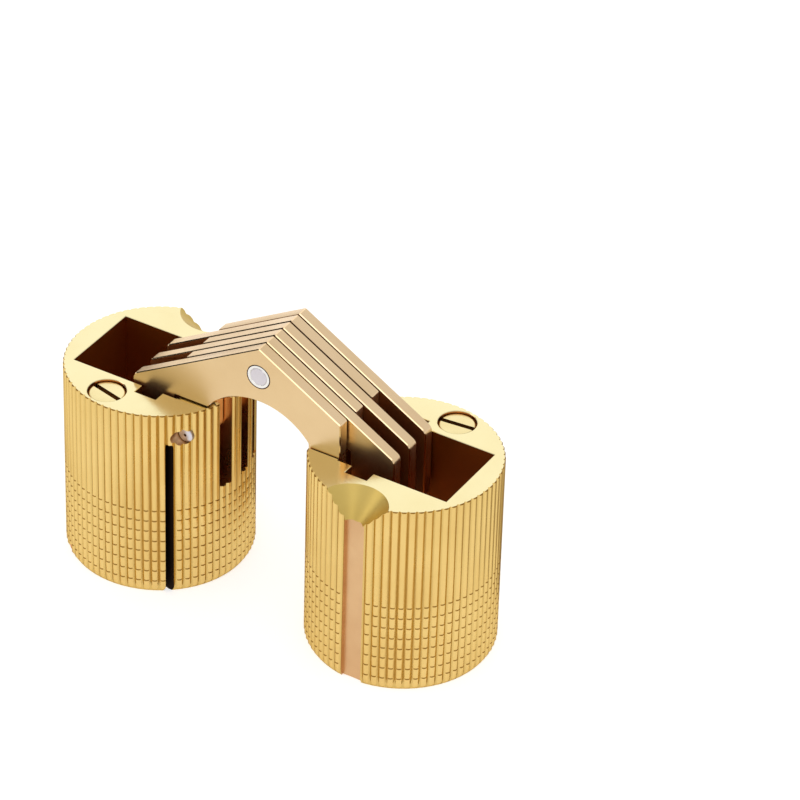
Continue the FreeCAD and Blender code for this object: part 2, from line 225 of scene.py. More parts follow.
# %% [markdown]
# ## Shared effects
# All the metal here shows the same few things: a slow drift of tone where fingers and air have been,
# fine marks from the tool that made the surface, and painted shade at the roots of the ribs.
# Each effect is built once as a node group, and the finishes below use it with their own values.
# They are noise and distances on the object's own coordinates, so they stay on the metal when the
# hinge moves. Painted images could do the same, but not at every scale.

# %% Tarnish and grain
def new_group(name, inputs, outputs):
    """Empty node group, with the sockets that it is given and those that it makes."""
    group = bpy.data.node_groups.new(name, "ShaderNodeTree")
    for in_out, sockets in (("INPUT", inputs), ("OUTPUT", outputs)):
        for title, kind in sockets.items():
            group.interface.new_socket(title, in_out=in_out, socket_type=f"NodeSocket{kind}")
    start, end = group.nodes.new("NodeGroupInput"), group.nodes.new("NodeGroupOutput")
    return group, start.outputs, end.inputs


tarnish, given, made = new_group(
    "tarnish", {"Vector": "Vector", "Clean": "Color", "Aged": "Color", "Scale": "Float",
                "Smooth": "Float", "Rough": "Float"}, {"Color": "Color", "Roughness": "Float"})
clouds = add_node(tarnish, "TexNoise",
                  {"Vector": given["Vector"], "Scale": given["Scale"], "Detail": 5})
age = add_node(tarnish, "MapRange",
               {"Value": clouds.outputs["Fac"], "From Min": 0.35, "From Max": 0.72})
tone = add_node(tarnish, "Mix", {"Factor": age.outputs[0], "A": given["Clean"], "B": given["Aged"]},
                data_type="RGBA")
gloss = add_node(tarnish, "MapRange",
                 {"Value": age.outputs[0], "To Min": given["Smooth"], "To Max": given["Rough"]})
tarnish.links.new(tone.outputs["Result"], made["Color"])
tarnish.links.new(gloss.outputs[0], made["Roughness"])

grain, given, made = new_group(
    "fine_grain", {"Vector": "Vector", "Stretch": "Vector", "Scale": "Float"},
    {"Height": "Float"})
stretched = add_node(grain, "VectorMath", {0: given["Vector"], 1: given["Stretch"]},
                     operation="MULTIPLY")
scratches = add_node(grain, "TexNoise",
                     {"Vector": stretched.outputs[0], "Scale": given["Scale"], "Detail": 3})
grain.links.new(scratches.outputs["Fac"], made["Height"])
print("groups:", [g.name for g in bpy.data.node_groups])

# %% [markdown]
# Marks from the lathe and the painted shade at the rib roots both follow the distance from a barrel's
# axis. The two axes stand at equal distances left and right of the middle, so one group finds that
# distance for both barrels by folding the left half onto the right one.

# %% Lathe marks and painted shade at the rib roots
HALF_SPACING = 13.35 * MM
ROOT_RADIUS, CREST_RADIUS = 8.80 * MM, 8.93 * MM

axis_radius, given, made = new_group("axis_radius", {"Vector": "Vector"}, {"Radius": "Float"})
split = add_node(axis_radius, "SeparateXYZ", {0: given["Vector"]})
either = add_node(axis_radius, "Math", {0: split.outputs["X"]}, operation="ABSOLUTE")
from_axis = add_node(axis_radius, "Math", {0: either.outputs[0], 1: HALF_SPACING},
                     operation="SUBTRACT")
flat = add_node(axis_radius, "CombineXYZ", {"X": from_axis.outputs[0], "Y": split.outputs["Y"]})
length = add_node(axis_radius, "VectorMath", {0: flat.outputs[0]}, operation="LENGTH")
axis_radius.links.new(length.outputs["Value"], made["Radius"])

lathe, given, made = new_group("lathe_marks", {"Vector": "Vector", "Pitch": "Float"},
                               {"Height": "Float"})
radius = add_node(lathe, "Group", {"Vector": given["Vector"]}, node_tree=axis_radius)
turns = add_node(lathe, "Math", {0: radius.outputs["Radius"], 1: given["Pitch"]}, operation="DIVIDE")
uneven = add_node(lathe, "TexNoise", {"W": turns.outputs[0], "Scale": 1}, noise_dimensions="1D")
lathe.links.new(uneven.outputs["Fac"], made["Height"])

# Painted shade: inside ROOT_RADIUS the ribs take a darker colour that stands in for the shade in
# their roots.
roots, given, made = new_group(
    "rib_root_shade", {"Vector": "Vector", "Crests": "Color", "Roots": "Color"}, {"Color": "Color"})
radius = add_node(roots, "Group", {"Vector": given["Vector"]}, node_tree=axis_radius)
height = add_node(roots, "MapRange", {"Value": radius.outputs["Radius"],
                                      "From Min": ROOT_RADIUS, "From Max": CREST_RADIUS})
tone = add_node(roots, "Mix", {"Factor": height.outputs[0],
                               "A": given["Roots"], "B": given["Crests"]}, data_type="RGBA")
roots.links.new(tone.outputs["Result"], made["Color"])
print("groups:", [g.name for g in bpy.data.node_groups])

# %% [markdown]
# ## The finishes
# Brass is a metal with a coloured reflection, so each finish is one Principled shader at full
# Metallic, and its colour is what the metal gives back of white light. Two tones drift into each
# other, and tool marks make a fine bump. One helper builds all the finishes.

# %% A recipe for metal
CLOUD_SCALE = 180.0


def metal(name, clean, aged, smooth, rough, marks=None, root_shade_tone=None):
    """Metal finish with two tones, two roughnesses, tool marks, and painted shade for rib roots."""
    finish = bpy.data.materials.new(name)
    finish.use_nodes = True
    finish.diffuse_color = (*clean, 1)
    tree = finish.node_tree
    shader = tree.nodes["Principled BSDF"]
    shader.inputs["Metallic"].default_value = 1.0
    place = add_node(tree, "TexCoord").outputs["Object"]
    drift = add_node(tree, "Group", {"Vector": place, "Clean": (*clean, 1), "Aged": (*aged, 1),
                                     "Scale": CLOUD_SCALE, "Smooth": smooth, "Rough": rough},
                     node_tree=tarnish)
    colour = drift.outputs["Color"]
    # Painted shade at the rib roots: a darker colour mixed in by the distance from the axis.
    if root_shade_tone:
        root_shaded = add_node(tree, "Group", {"Vector": place, "Crests": colour,
                                          "Roots": (*root_shade_tone, 1)}, node_tree=roots)
        colour = root_shaded.outputs["Color"]
    tree.links.new(colour, shader.inputs["Base Color"])
    tree.links.new(drift.outputs["Roughness"], shader.inputs["Roughness"])
    if marks:
        group, depth, values = marks
        tool = add_node(tree, "Group", {"Vector": place, **values}, node_tree=group)
        bump = add_node(tree, "Bump", {"Strength": 1.0, "Distance": depth,
                                       "Height": tool.outputs["Height"]})
        tree.links.new(bump.outputs["Normal"], shader.inputs["Normal"])
    return finish


print("recipe ready, clouds at", CLOUD_SCALE, "per metre")

# %% [markdown]
# The barrel's ribs are bright, with a tint that deepens them at grazing angles and painted shade at
# their roots. Its level faces and the dish in its end are turned and polished, and the level faces
# are paler as a painted highlight. The walls that cutters leave are raw and darker; the deep pocket
# and the slit are darkest, painted shade for the shade inside them.

# %% Barrel finishes
KNURLED = (grain, 0.004 * MM, {"Stretch": (1, 1, 0.08), "Scale": 9000.0})
TURNED = (lathe, 0.003 * MM, {"Pitch": 0.16 * MM})
MILLED = (grain, 0.004 * MM, {"Stretch": (1, 1, 0.1), "Scale": 7000.0})
DRAWN = (grain, 0.005 * MM, {"Stretch": (1, 1, 0.05), "Scale": 8000.0})
BORED = (grain, 0.004 * MM, {"Stretch": (1, 1, 1), "Scale": 5000.0})
GRAZING_TINT = (0.55, 0.47, 0.36, 1)

# The ribs' root colour is painted shade for the shade in the grooves.
rib_brass = metal("rib_brass", (0.84, 0.595, 0.22), (0.79, 0.54, 0.182), 0.24, 0.34, KNURLED,
                  root_shade_tone=(0.70, 0.49, 0.165))
rib_shader = rib_brass.node_tree.nodes["Principled BSDF"]
rib_shader.inputs["Specular Tint"].default_value = GRAZING_TINT
# Painted shade: the cross rings and the rim's chamfer take a dark brown for the shade in these narrow
# cuts.
cross_ring_shade = metal("cross_ring_shade", (0.42, 0.22, 0.045), (0.34, 0.17, 0.030), 0.40, 0.50)
# Polished turned brass with a painted highlight: the level faces are paler than the brass elsewhere,
# for the bright reflection on them.
face_highlight_brass = metal("face_highlight_brass", (0.92, 0.82, 0.48), (0.90, 0.78, 0.43), 0.18, 0.26, TURNED)
dish_brass = metal("dish_brass", (0.88, 0.64, 0.25), (0.82, 0.57, 0.20), 0.20, 0.28, TURNED)
# Painted shade: the deep pocket, the guide and the relief take a dark red-brown for the shade inside
# them.
pocket_shade = metal("pocket_shade", (0.42, 0.12, 0.012), (0.36, 0.095, 0.010), 0.42, 0.55, MILLED)
slot_brass = metal("slot_brass", (0.72, 0.38, 0.15), (0.66, 0.33, 0.12), 0.24, 0.32, MILLED)
groove_brass = metal("groove_brass", (0.74, 0.48, 0.25), (0.66, 0.40, 0.20), 0.34, 0.45, DRAWN)
sink_brass = metal("sink_brass", (0.74, 0.54, 0.16), (0.66, 0.46, 0.12), 0.34, 0.44, BORED)
# Painted shade: the slit's walls are near-black for the shade inside it.
slit_shade = metal("slit_shade", (0.020, 0.010, 0.006), (0.012, 0.007, 0.004), 0.5, 0.6)
print("finishes:", [m.name for m in bpy.data.materials if m.use_nodes])

# %% [markdown]
# The leaves are a paler, satin brass with polished arrises, and their hidden sides get painted shade,
# a dark red-brown for the shade between leaves. The pins are ground steel and the screw heads
# polished brass. Driver slots, holes and gaps get painted shade, dark colours for the shade inside
# them.

# %% Finishes of the small pieces
LAPPED = (grain, 0.003 * MM, {"Stretch": (0.12, 1, 1), "Scale": 9000.0})
STAMPED = (grain, 0.004 * MM, {"Stretch": (1, 0.1, 1), "Scale": 8000.0})
GROUND = (grain, 0.003 * MM, {"Stretch": (1, 1, 1), "Scale": 6000.0})

leaf_side = metal("leaf_side", (0.77, 0.56, 0.305), (0.73, 0.52, 0.275), 0.30, 0.38, LAPPED)
# Painted shade: a dark red-brown for the sides that only face another leaf.
leaf_gap_shade = metal("leaf_gap_shade", (0.48, 0.18, 0.055), (0.42, 0.15, 0.042), 0.46, 0.54, LAPPED)
leaf_edge = metal("leaf_edge", (0.94, 0.70, 0.43), (0.87, 0.63, 0.36), 0.26, 0.36, STAMPED)
arris_brass = metal("arris_brass", (0.94, 0.70, 0.43), (0.87, 0.63, 0.36), 0.08, 0.12)
ring_steel = metal("ring_steel", (0.88, 0.86, 0.82), (0.82, 0.80, 0.76), 0.26, 0.36)
ground_steel = metal("ground_steel", (0.70, 0.66, 0.68), (0.62, 0.58, 0.61), 0.26, 0.36, GROUND)
head_brass = metal("head_brass", (0.92, 0.80, 0.44), (0.84, 0.68, 0.32), 0.20, 0.30, GROUND)
# Painted shade for the screw hole, the gap round the rivet and the pins' dimples: a near-black brown.
recess_shade = metal("recess_shade", (0.10, 0.04, 0.015), (0.07, 0.03, 0.01), 0.45, 0.55)
# Painted shade: a dark brown for the shade inside the screws' driver slots.
driver_slot_shade = metal("driver_slot_shade", (0.36, 0.21, 0.06), (0.30, 0.16, 0.04), 0.36, 0.46)
print("finishes:", len([m for m in bpy.data.materials if m.use_nodes]))

# %% [markdown]
# ## Tools for the bench
# Modelling by hand means going into edit mode, picking what to change and using one tool on it.
# In a script the picking is a test on each point, edge or face: where it is or where it looks.
# These helpers open a piece, pick and paint by such a test, cut a piece with others by a Boolean,
# and bring a finished piece back to the origin.

# %% Bench helpers
TOUCH = MM / 1000
PICK_MODES = {"verts": "VERT", "edges": "EDGE", "faces": "FACE"}


def select_only(piece):
    deselect()
    piece.select_set(True)
    bpy.context.view_layer.objects.active = piece


def open_piece(piece):
    select_only(piece)
    bpy.ops.object.mode_set(mode="EDIT")


def close_piece():
    bpy.ops.object.mode_set(mode="OBJECT")


def pick(piece, kind, wanted):
    """Select the points, edges or faces of the open piece that pass a test, and count them."""
    bpy.ops.mesh.select_mode(type=PICK_MODES[kind])
    bpy.ops.mesh.select_all(action="DESELECT")
    mesh = bmesh.from_edit_mesh(piece.data)
    picked = [item for item in getattr(mesh, kind) if wanted(item)]
    for item in picked:
        item.select_set(True)
    bmesh.update_edit_mesh(piece.data)
    return len(picked)


def paint(piece, finish, wanted):
    """Give one more finish to the faces of the open piece that pass a test, and count them."""
    piece.data.materials.append(finish)
    painted = pick(piece, "faces", wanted)
    piece.active_material_index = len(piece.data.materials) - 1
    bpy.ops.object.material_slot_assign()
    return painted


def settle(piece, name):
    """Name a new primitive and put its place, turn and scale into its mesh."""
    piece.name = name
    piece.data.name = name
    select_only(piece)
    bpy.ops.object.transform_apply(location=True, rotation=True, scale=True)
    return piece


def cut_away(piece, **tools):
    """Take other pieces away from this one. Each leaves its finish on the walls that it cuts."""
    cut = piece.modifiers.new("cut", "BOOLEAN")
    cut.operation = "DIFFERENCE"
    cut.solver = "EXACT"
    cut.material_mode = "TRANSFER"
    for title, value in tools.items():
        setattr(cut, title, value)
    select_only(piece)
    bpy.ops.object.modifier_apply(modifier=cut.name)


def is_sharp(edge, least=40):
    return len(edge.link_faces) == 2 and edge.calc_face_angle() > math.radians(least)


def smooth(piece, angle=35):
    select_only(piece)
    bpy.ops.object.shade_smooth_by_angle(angle=math.radians(angle))


def count(piece):
    return f"{piece.name}: {len(piece.data.polygons)} faces"


print("bench ready, things within", TOUCH / MM, "mm touch")

# %% [markdown]
# ## The barrel's ribbed wall
# The barrel is turned from bar and straight-knurled, so that it bites in the wood: rounded ribs run
# from end to end all round it. Displacement could fake them, but the outline would stay smooth.
# Here one circle gets the rib profile, by pulling its points inwards in steps.

# %% Ribbed ring
RADIUS = 9.0 * MM
RIBS = 72
STEPS = 10
RIB_DEPTHS = [0, 0.006 * MM, 0.030 * MM, 0.090 * MM, 0.172 * MM, 0.22 * MM]
LEFT_AXIS = Vector((-HALF_SPACING, 0, 0))


def out_from_axis(point):
    return math.hypot(point.x - LEFT_AXIS.x, point.y)


def rib_step(point):
    """How many steps a point is away from the crest of its rib."""
    ribs_round = math.atan2(point.y, point.x - LEFT_AXIS.x) / math.tau * RIBS
    return round(abs((ribs_round + 0.5) % 1 - 0.5) * STEPS)


def pull_in(start, end):
    """Bring the picked points from one distance to another, as seen from the barrel's axis."""
    shrink = end / start
    bpy.ops.transform.resize(value=(shrink, shrink, 1), center_override=LEFT_AXIS)


deselect()
bpy.ops.mesh.primitive_circle_add(vertices=RIBS * STEPS, radius=RADIUS, location=LEFT_AXIS)
barrel = settle(bpy.context.object, "left_barrel_body")
open_piece(barrel)
for step, depth in enumerate(RIB_DEPTHS):
    pick(barrel, "verts", lambda vertex: rib_step(vertex.co) == step)
    pull_in(RADIUS, RADIUS - depth)
close_piece()
print("ring of", len(barrel.data.vertices), "points")

# %% [markdown]
# The ring is extruded upwards from level to level into a wall, and both ends are closed. On the
# lower part fine rings are cut across the ribs, which would take a loop of Booleans. It is simpler
# to give each ring three levels and to pull in the middle one. The lower end and the rim of the face
# are chamfered in the same way, and the cut faces get painted shade, a dark brown for the shade in
# them.

# %% Wall with cross rings
LENGTH = 20.2 * MM
ROWS = 8
ROW_PITCH = 1.157 * MM
FIRST_ROW = 1.3 * MM
ROW_WIDTH = 0.15 * MM
ROW_FLOOR = RADIUS - 0.075 * MM
END_CHAMFER = 0.45 * MM
END_RADIUS = RADIUS - 0.28 * MM
RIM_CHAMFER = 0.10 * MM
RIM_RADIUS = RADIUS - RIM_CHAMFER
rows = [FIRST_ROW + ROW_PITCH * row for row in range(ROWS)]
levels = [0, END_CHAMFER]
for row in rows:
    levels += [row - ROW_WIDTH / 2, row, row + ROW_WIDTH / 2]
levels += [LENGTH - RIM_CHAMFER, LENGTH]

open_piece(barrel)
bpy.ops.mesh.select_mode(type="EDGE")
bpy.ops.mesh.select_all(action="SELECT")
for low, high in zip(levels, levels[1:]):
    bpy.ops.mesh.extrude_edges_move(TRANSFORM_OT_translate={"value": (0, 0, high - low)})
for level in (0, LENGTH):
    pick(barrel, "edges", lambda edge: all(abs(v.co.z - level) < TOUCH for v in edge.verts))
    bpy.ops.mesh.edge_face_add()

for step, depth in enumerate(RIB_DEPTHS):
    pick(barrel, "verts", lambda vertex: rib_step(vertex.co) == step and vertex.co.z < TOUCH)
    pull_in(RADIUS - depth, END_RADIUS)
    for cut_radius, heights in ((ROW_FLOOR, rows), (RIM_RADIUS, [LENGTH])):
        if RADIUS - depth > cut_radius:
            pick(barrel, "verts", lambda vertex: rib_step(vertex.co) == step
                 and any(abs(vertex.co.z - z) < TOUCH for z in heights))
            pull_in(RADIUS - depth, cut_radius)
bpy.ops.mesh.select_all(action="SELECT")
bpy.ops.mesh.normals_make_consistent(inside=False)


def in_cross_ring(face):
    middle = face.calc_center_median()
    low = any(abs(middle.z - row) < ROW_WIDTH / 2 for row in rows)
    at_rim = LENGTH - RIM_CHAMFER < middle.z < LENGTH - TOUCH
    outermost = max(out_from_axis(v.co) for v in face.verts)
    return (low or at_rim) and outermost > ROW_FLOOR + TOUCH


barrel.data.materials.append(rib_brass)
# Painted shade on the faces of the cross rings and of the rim's chamfer.
print("ring faces:", paint(barrel, cross_ring_shade, in_cross_ring))
close_piece()
print(count(barrel))

# %% [markdown]
# ## Cutting the barrel
# A milling cutter opens the pocket that the leaves fold into, three slots for the leaves that pivot
# here, and a guide on each side for the sliding pin. The same is done here with a box for each cut,
# and one Boolean takes them all away at the end. Cutting by hand would mean a knife and many loops.
# Each tool carries a finish, which it leaves on the walls that it cuts.

# %% Milling cutters
FACE = LENGTH
PAST = 1.0 * MM
LEAF_PITCH = 1.36 * MM
MIDDLE_LEAF = 3.5
POCKET_HALF = 4.275 * MM
POCKET_NEAR, POCKET_FAR = 4.7 * MM, 6.75 * MM
GUIDE_HALF = POCKET_HALF + 1.2 * MM
GUIDE_NEAR, GUIDE_FAR = 3.15 * MM, 0.85 * MM
RELIEF_FAR, RELIEF_TOP = -1.05 * MM, FACE - 5.2 * MM
SLOT_HALF = 0.695 * MM
SLOT_FLOOR = FACE - 9.5 * MM
cutters = bpy.data.collections.new("barrel_cutters")
scene.collection.children.link(cutters)


def keep_cutter(piece, name, finish):
    settle(piece, name)
    piece.data.materials.append(finish)
    for collection in list(piece.users_collection):
        collection.objects.unlink(piece)
    cutters.objects.link(piece)
    return piece


def box_cutter(name, low, high, finish):
    """Box between two corners, measured from the barrel's axis."""
    low, high = Vector(low), Vector(high)
    deselect()
    bpy.ops.mesh.primitive_cube_add(size=1, location=LEFT_AXIS + (low + high) / 2,
                                    scale=high - low)
    return keep_cutter(bpy.context.object, name, finish)


# The pocket, the guide and the relief leave painted shade on their walls.
box_cutter("pocket", (-POCKET_FAR, -POCKET_HALF, -PAST),
           (POCKET_NEAR, POCKET_HALF, FACE + PAST), pocket_shade)
for leaf in (2, 4, 6):
    middle = (leaf - MIDDLE_LEAF) * LEAF_PITCH
    box_cutter(f"slot_{leaf}", (POCKET_NEAR - PAST, middle - SLOT_HALF, SLOT_FLOOR),
               (RADIUS + PAST, middle + SLOT_HALF, FACE + PAST), slot_brass)
box_cutter("guide", (GUIDE_FAR, -GUIDE_HALF, -PAST),
           (GUIDE_NEAR, GUIDE_HALF, FACE + PAST), pocket_shade)
box_cutter("relief", (RELIEF_FAR, -GUIDE_HALF, -PAST),
           (GUIDE_NEAR, GUIDE_HALF, RELIEF_TOP), pocket_shade)

# %% [markdown]
# Drills make the pivot hole and the screw's seat and hole. A countersink takes a bite out of the rim,
# above a shallow groove down the side, and the lower end is dished. Rods and cones stand for these
# tools, each laid from one point to another.

# %% Drills and countersinks
PIVOT = Vector((6.5, 0, 17.6)) * MM
PIVOT_START, PIVOT_END = Vector((0, -10, 0)) * MM, Vector((0, 5.175, 0)) * MM
PIVOT_HOLE = 0.78 * MM
SCREW = Vector((-1.38, -6.7, 20.2)) * MM
SEAT_RADIUS, SEAT_FLOOR = 1.82 * MM, Vector((0, 0, -1.3)) * MM
HOLE_RADIUS, HOLE_FLOOR = 1.25 * MM, Vector((0, 0, -9.0)) * MM
SINK = Vector((0, 9.5, 20.2)) * MM
SINK_LOW, SINK_HIGH = Vector((0, 0, -2.4)) * MM, Vector((0, 0, 0.4)) * MM
SINK_NARROW, SINK_WIDE = 1.0 * MM, 3.8 * MM
GROOVE_HALF, GROOVE_DEPTH = 1.025 * MM, 0.55 * MM
GROOVE_TOP = FACE - 2.3 * MM
DISH_RADIUS, DISH_SLOPE = 8.5 * MM, math.tan(math.radians(31))
DISH_PAST = 0.1 * MM


def rod_cutter(name, start, end, radius, finish, end_radius=None, sides=64):
    """Rod or cone from one point to another, measured from the barrel's axis."""
    start, end = Vector(start), Vector(end)
    aim = (end - start).to_track_quat("Z", "Y").to_euler()
    deselect()
    bpy.ops.mesh.primitive_cone_add(
        vertices=sides, radius1=radius, radius2=radius if end_radius is None else end_radius,
        depth=(end - start).length, location=LEFT_AXIS + (start + end) / 2, rotation=aim)
    return keep_cutter(bpy.context.object, name, finish)


rod_cutter("pivot_hole", PIVOT + PIVOT_START, PIVOT + PIVOT_END, PIVOT_HOLE, groove_brass)
rod_cutter("screw_seat", SCREW + SEAT_FLOOR, SCREW + Vector((0, 0, PAST)), SEAT_RADIUS, slot_brass)
# The screw hole leaves painted shade on its walls.
rod_cutter("screw_hole", SCREW + HOLE_FLOOR, SCREW, HOLE_RADIUS, recess_shade)
rod_cutter("countersink", SINK + SINK_LOW, SINK + SINK_HIGH, SINK_NARROW, sink_brass,
           end_radius=SINK_WIDE, sides=96)
box_cutter("side_groove", (-GROOVE_HALF, RADIUS - GROOVE_DEPTH, -PAST),
           (GROOVE_HALF, RADIUS + PAST, GROOVE_TOP), groove_brass)
rod_cutter("dish", (0, 0, -DISH_PAST), (0, 0, DISH_RADIUS * DISH_SLOPE),
           DISH_RADIUS + DISH_PAST / DISH_SLOPE, dish_brass, end_radius=0, sides=96)

# %% [markdown]
# A saw slits the barrel, so that the screw can spread it in its hole. The slit takes away exactly one
# rib, ends inside the barrel, and leaves a low heel on the far side. Its top is an arc: the upper
# edges of the box are bevelled until they meet, and the arc is drawn out upwards so that it still
# shows below the next rib's crest.

# %% The slit's rounded saw
SLIT_HALF = 0.25 * MM
SLIT_Y = -RADIUS * math.sin(math.radians(50))
SLIT_TOP = FACE - 3.6 * MM
SLIT_END, HEEL_TOP = -3.2 * MM, 0.9 * MM
ARC_SHARE, ARC_STRETCH = 0.98, 2.2
box_cutter("slit_heel", (-RADIUS - PAST, SLIT_Y - SLIT_HALF, -PAST),
           (SLIT_END + PAST, SLIT_Y + SLIT_HALF, HEEL_TOP), slot_brass)
# The slit leaves painted shade, near-black, on its walls.
slit = box_cutter("slit", (SLIT_END, SLIT_Y - SLIT_HALF, -PAST),
                  (RADIUS + PAST, SLIT_Y + SLIT_HALF, SLIT_TOP), slit_shade)
open_piece(slit)
pick(slit, "edges", lambda edge: all(v.co.z > 0 for v in edge.verts)
     and abs(edge.verts[0].co.x - edge.verts[1].co.x) > RADIUS)
bpy.ops.mesh.bevel(offset=SLIT_HALF * ARC_SHARE, segments=6, affect="EDGES")
arc_foot = LEFT_AXIS + Vector((0, 0, SLIT_TOP - SLIT_HALF))
pick(slit, "verts", lambda vertex: vertex.co.z > arc_foot.z)
bpy.ops.transform.resize(value=(1, 1, ARC_STRETCH), center_override=arc_foot)
close_piece()
print(count(slit))

# %% [markdown]
# Now all the tools cut at once. The level face gets its polish, with a paler colour that is a painted
# highlight, and the edges of the openings in it are broken by a fine chamfer. The chamfer has one
# segment and leaves out the blunt edges, because a rounder one would bend the shading of the flat
# face around it.

# %% Cut, polish the face, break the edges
EDGE_BREAK = 0.05 * MM
RIM_MARGIN = 0.3 * MM
BARREL_MERGE = MM / 10000
cut_away(barrel, operand_type="COLLECTION", collection=cutters)
for tool in list(cutters.objects):
    bpy.data.objects.remove(tool)
bpy.data.collections.remove(cutters)


def is_level_face(face):
    return face.normal.z > 0.99 and face.calc_center_median().z > FACE - TOUCH


def is_opening_edge(edge):
    middle = (edge.verts[0].co + edge.verts[1].co) / 2
    return (all(v.co.z > FACE - TOUCH for v in edge.verts) and is_sharp(edge, least=60)
            and out_from_axis(middle) < RADIUS - RIM_MARGIN)


open_piece(barrel)
bpy.ops.mesh.select_all(action="SELECT")
bpy.ops.mesh.remove_doubles(threshold=BARREL_MERGE)
# The level faces get the paler brass, a painted highlight.
print("level faces:", paint(barrel, face_highlight_brass, is_level_face))
print("opening edges:", pick(barrel, "edges", is_opening_edge))
bpy.ops.mesh.bevel(offset=EDGE_BREAK, segments=1, affect="EDGES", clamp_overlap=False)
close_piece()
smooth(barrel)
print(count(barrel), [s.material.name for s in barrel.material_slots])

# %% [markdown]
# ## The second barrel
# Both barrels of such a hinge are the same part, put in the other way round. So the finished one is
# copied with its own mesh and turned by half a turn about the middle of the hinge, and each one then
# stands for its solid in the frame.

# %% Copy the barrel
def turned_copy(piece, name):
    select_only(piece)
    bpy.ops.object.duplicate()
    twin = bpy.context.object
    bpy.ops.transform.rotate(value=math.pi, orient_axis="Z", center_override=(0, 0, 0))
    return settle(twin, name)


def stand_for(piece, node, body):
    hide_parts(node)
    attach(piece, body)


right_barrel = turned_copy(barrel, "right_barrel_body")
stand_for(barrel, "barrel_left", "left_barrel")
stand_for(right_barrel, "barrel_right", "right_barrel")
print(count(right_barrel))

# %% [markdown]
# ## The leaves
# Each leaf is stamped from plate, lapped flat and tumbled, so its sides are satin and its arrises are
# broken and bright. Those thin bright and dark lines tell six leaves apart in a stack, and so does
# the painted shade on the sides that only face another leaf. The outline could be drawn again, but it
# is already right in the frame, so a copy of each solid is merged and cleaned, and a bevel goes round
# its edges.

# %% Leaf helpers
LEAF_BREAK = 0.08 * MM
LEAF_MERGE = MM / 2000
FLAT_ENOUGH = math.radians(0.5)
ALONG_PIN, OFF_PIN = 0.9, 0.3
RIVET_AXIS = Vector((0, 0, 25.8)) * MM
RIVET_RADIUS = 1.15 * MM


def copy_of(node, name):
    """Copy of a solid's mesh as a new piece, opened, merged and with its flat faces whole."""
    piece = bpy.data.objects.new(name, frame["nodes"][node].data.copy())
    scene.collection.objects.link(piece)
    piece.data.materials.clear()
    open_piece(piece)
    bpy.ops.mesh.customdata_custom_splitnormals_clear()
    bpy.ops.mesh.select_all(action="SELECT")
    bpy.ops.mesh.remove_doubles(threshold=LEAF_MERGE)
    bpy.ops.mesh.dissolve_limited(angle_limit=FLAT_ENOUGH)
    return piece


def from_pin(face, axis):
    """Distance of a face from the axis of a pin, which runs from front to back."""
    middle = face.calc_center_median()
    return math.hypot(middle.x - axis.x, middle.z - axis.z)


def faces_a_leaf(face, number):
    """Sides that only see the next leaf, which get painted shade."""
    across = face.normal.y
    return (across < -ALONG_PIN and number > 2) or (across > ALONG_PIN and number < 5)


print("leaf edges broken by", round(LEAF_BREAK / MM, 3), "mm")

# %% [markdown]
# All six leaves go through the same steps: break the edges, then paint the edges, the arrises, and
# painted shade on the hidden sides and in the hole that the rivet fills. Odd leaves ride together,
# and so do even ones.

# %% Bevelled leaves
for number in range(1, 7):
    leaf = copy_of(f"leaf_{number}", f"leaf_plate_{number}")
    pick(leaf, "edges", is_sharp)
    bpy.ops.mesh.bevel(offset=LEAF_BREAK, segments=1, affect="EDGES", clamp_overlap=False)
    leaf.data.materials.append(leaf_side)
    paint(leaf, leaf_edge, lambda face: abs(face.normal.y) < ALONG_PIN)
    # Painted shade on the sides that only face another leaf.
    paint(leaf, leaf_gap_shade, lambda face: faces_a_leaf(face, number))
    paint(leaf, arris_brass, lambda face: OFF_PIN < abs(face.normal.y) < ALONG_PIN)
    # Painted shade in the gap round the rivet.
    paint(leaf, recess_shade,
          lambda face: from_pin(face, RIVET_AXIS) < RIVET_RADIUS + 2 * LEAF_BREAK)
    close_piece()
    smooth(leaf, angle=20)
    stand_for(leaf, f"leaf_{number}", "odd_leaves" if number % 2 else "even_leaves")
    print(count(leaf))

# %% [markdown]
# ## The pins
# Plain ground pins carry the leaves. Their ends have a rounded rim and a small dimple from the
# lathe's centre, and catch the light deep in the cross hole; the dimple's dark colour is painted
# shade. A
# cylinder of the right length gets both: the rims are bevelled, and the end faces are inset and
# pushed in. Turning a profile with a spin would give the same, with more points to place.

# %% Cross pins
PIN_RADIUS = 0.75 * MM
PIN_ROUNDING = 0.14 * MM
DIMPLE_RADIUS = 0.16 * MM
DIMPLE_SHARE = 0.9
ACROSS = (math.pi / 2, 0, 0)


def cross_pin(node, name, body):
    low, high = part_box(node)
    axis = (low + high) / 2
    deselect()
    bpy.ops.mesh.primitive_cylinder_add(vertices=48, radius=PIN_RADIUS, depth=high.y - low.y,
                                        location=axis, rotation=ACROSS)
    pin = settle(bpy.context.object, name)
    pin.data.materials.append(ground_steel)
    open_piece(pin)
    pick(pin, "edges", is_sharp)
    bpy.ops.mesh.bevel(offset=PIN_ROUNDING, segments=4, affect="EDGES")
    pick(pin, "faces", lambda face: abs(face.normal.y) > 0.99)
    bpy.ops.mesh.inset(thickness=PIN_RADIUS - PIN_ROUNDING - DIMPLE_RADIUS)
    bpy.ops.mesh.inset(thickness=DIMPLE_RADIUS * DIMPLE_SHARE, depth=-DIMPLE_RADIUS)
    # Painted shade in the dimple.
    paint(pin, recess_shade, lambda face: from_pin(face, axis) < DIMPLE_RADIUS)
    close_piece()
    smooth(pin)
    stand_for(pin, node, body)
    print(count(pin))


cross_pin("pivot_pin_left", "left_pivot_pin", "left_barrel")
cross_pin("pivot_pin_right", "right_pivot_pin", "right_barrel")
cross_pin("slide_pin_left", "left_slide_pin", "odd_leaves")
cross_pin("slide_pin_right", "right_slide_pin", "even_leaves")

